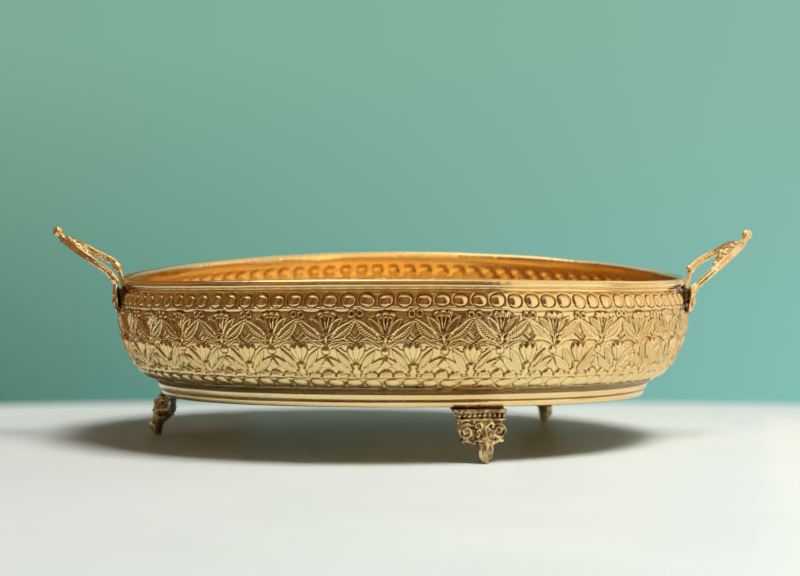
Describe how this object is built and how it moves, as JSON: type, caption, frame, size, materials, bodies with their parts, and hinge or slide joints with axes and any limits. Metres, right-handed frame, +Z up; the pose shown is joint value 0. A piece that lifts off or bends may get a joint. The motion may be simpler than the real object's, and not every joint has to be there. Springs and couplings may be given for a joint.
{
  "type": "footed brass urli bowl",
  "caption": "Wide shallow embossed brass bowl with a wired rim and two cast openwork loop handles, raised on a moulded ring and cast scroll feet, for floating flowers.",
  "frame": {"origin": "centre of the circle through the toes, on the plane the toes stand on", "axes": "+Z up along the bowl's axis; +X towards the right handle, with both handles on the X axis; the side first seen faces -Y"},
  "size_m": [0.3782, 0.3052, 0.1178],
  "materials": {
    "embossed_sheet": "polished high spots, lightly darkened in the chased hollows",
    "rim_wire": "drawn wire, plain",
    "base_moulding": "polished beads with dark grooves",
    "cast_feet": "antiqued casting, rubbed bright on the high spots",
    "cast_handles": "bright casting with darker recesses",
    "rivets": "hammered heads, satin"
  },
  "bodies": {
    "root": {"bowl_shell": "embossed_sheet", "rim_wire": "rim_wire", "base_ring": "base_moulding", "foot_front": "cast_feet", "foot_rear_right": "cast_feet", "foot_left": "cast_feet", "handle_left": "cast_handles", "handle_right": "cast_handles", "rivets_foot_front": "rivets", "rivets_foot_rear_right": "rivets", "rivets_foot_left": "rivets", "rivets_handle_left": "rivets", "rivets_handle_right": "rivets"}
  },
  "joints": []
}
